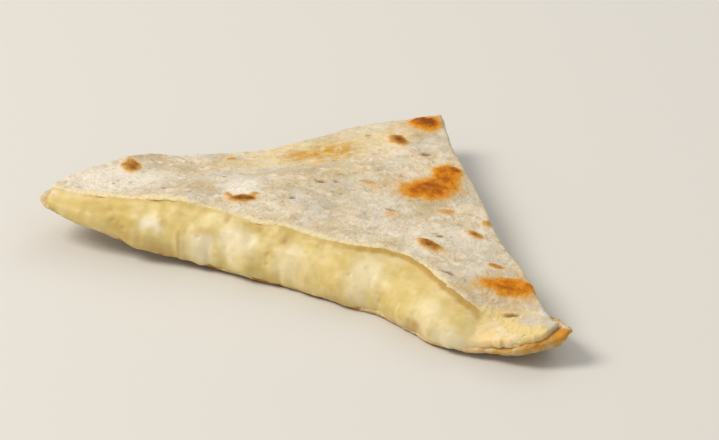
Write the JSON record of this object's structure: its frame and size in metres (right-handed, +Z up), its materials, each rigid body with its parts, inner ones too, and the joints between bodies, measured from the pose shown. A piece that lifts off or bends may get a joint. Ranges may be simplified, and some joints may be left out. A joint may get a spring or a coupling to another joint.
{
  "type": "quesadilla wedge",
  "caption": "Wedge of cheese quesadilla: melted cheese between flour tortillas, oozing from the long cut side, with toasted spots.",
  "frame": {"origin": "on the table under the middle of the wedge's box", "axes": "+X along the long front cut towards the narrow tip, +Y from that cut to the back corner, +Z up through the layers"},
  "size_m": [0.1474, 0.1004, 0.0161],
  "materials": {
    "bottom_tortilla": "soft matte baked flour dough with brown toasted edges",
    "cheese": "smooth pale yellow melted cheese with a greasy sheen",
    "top_tortilla": "soft matte floury baked dough with orange-brown toasted spots"
  },
  "bodies": {
    "root": {"bottom_tortilla": "bottom_tortilla", "cheese": "cheese", "top_tortilla": "top_tortilla"}
  },
  "joints": []
}
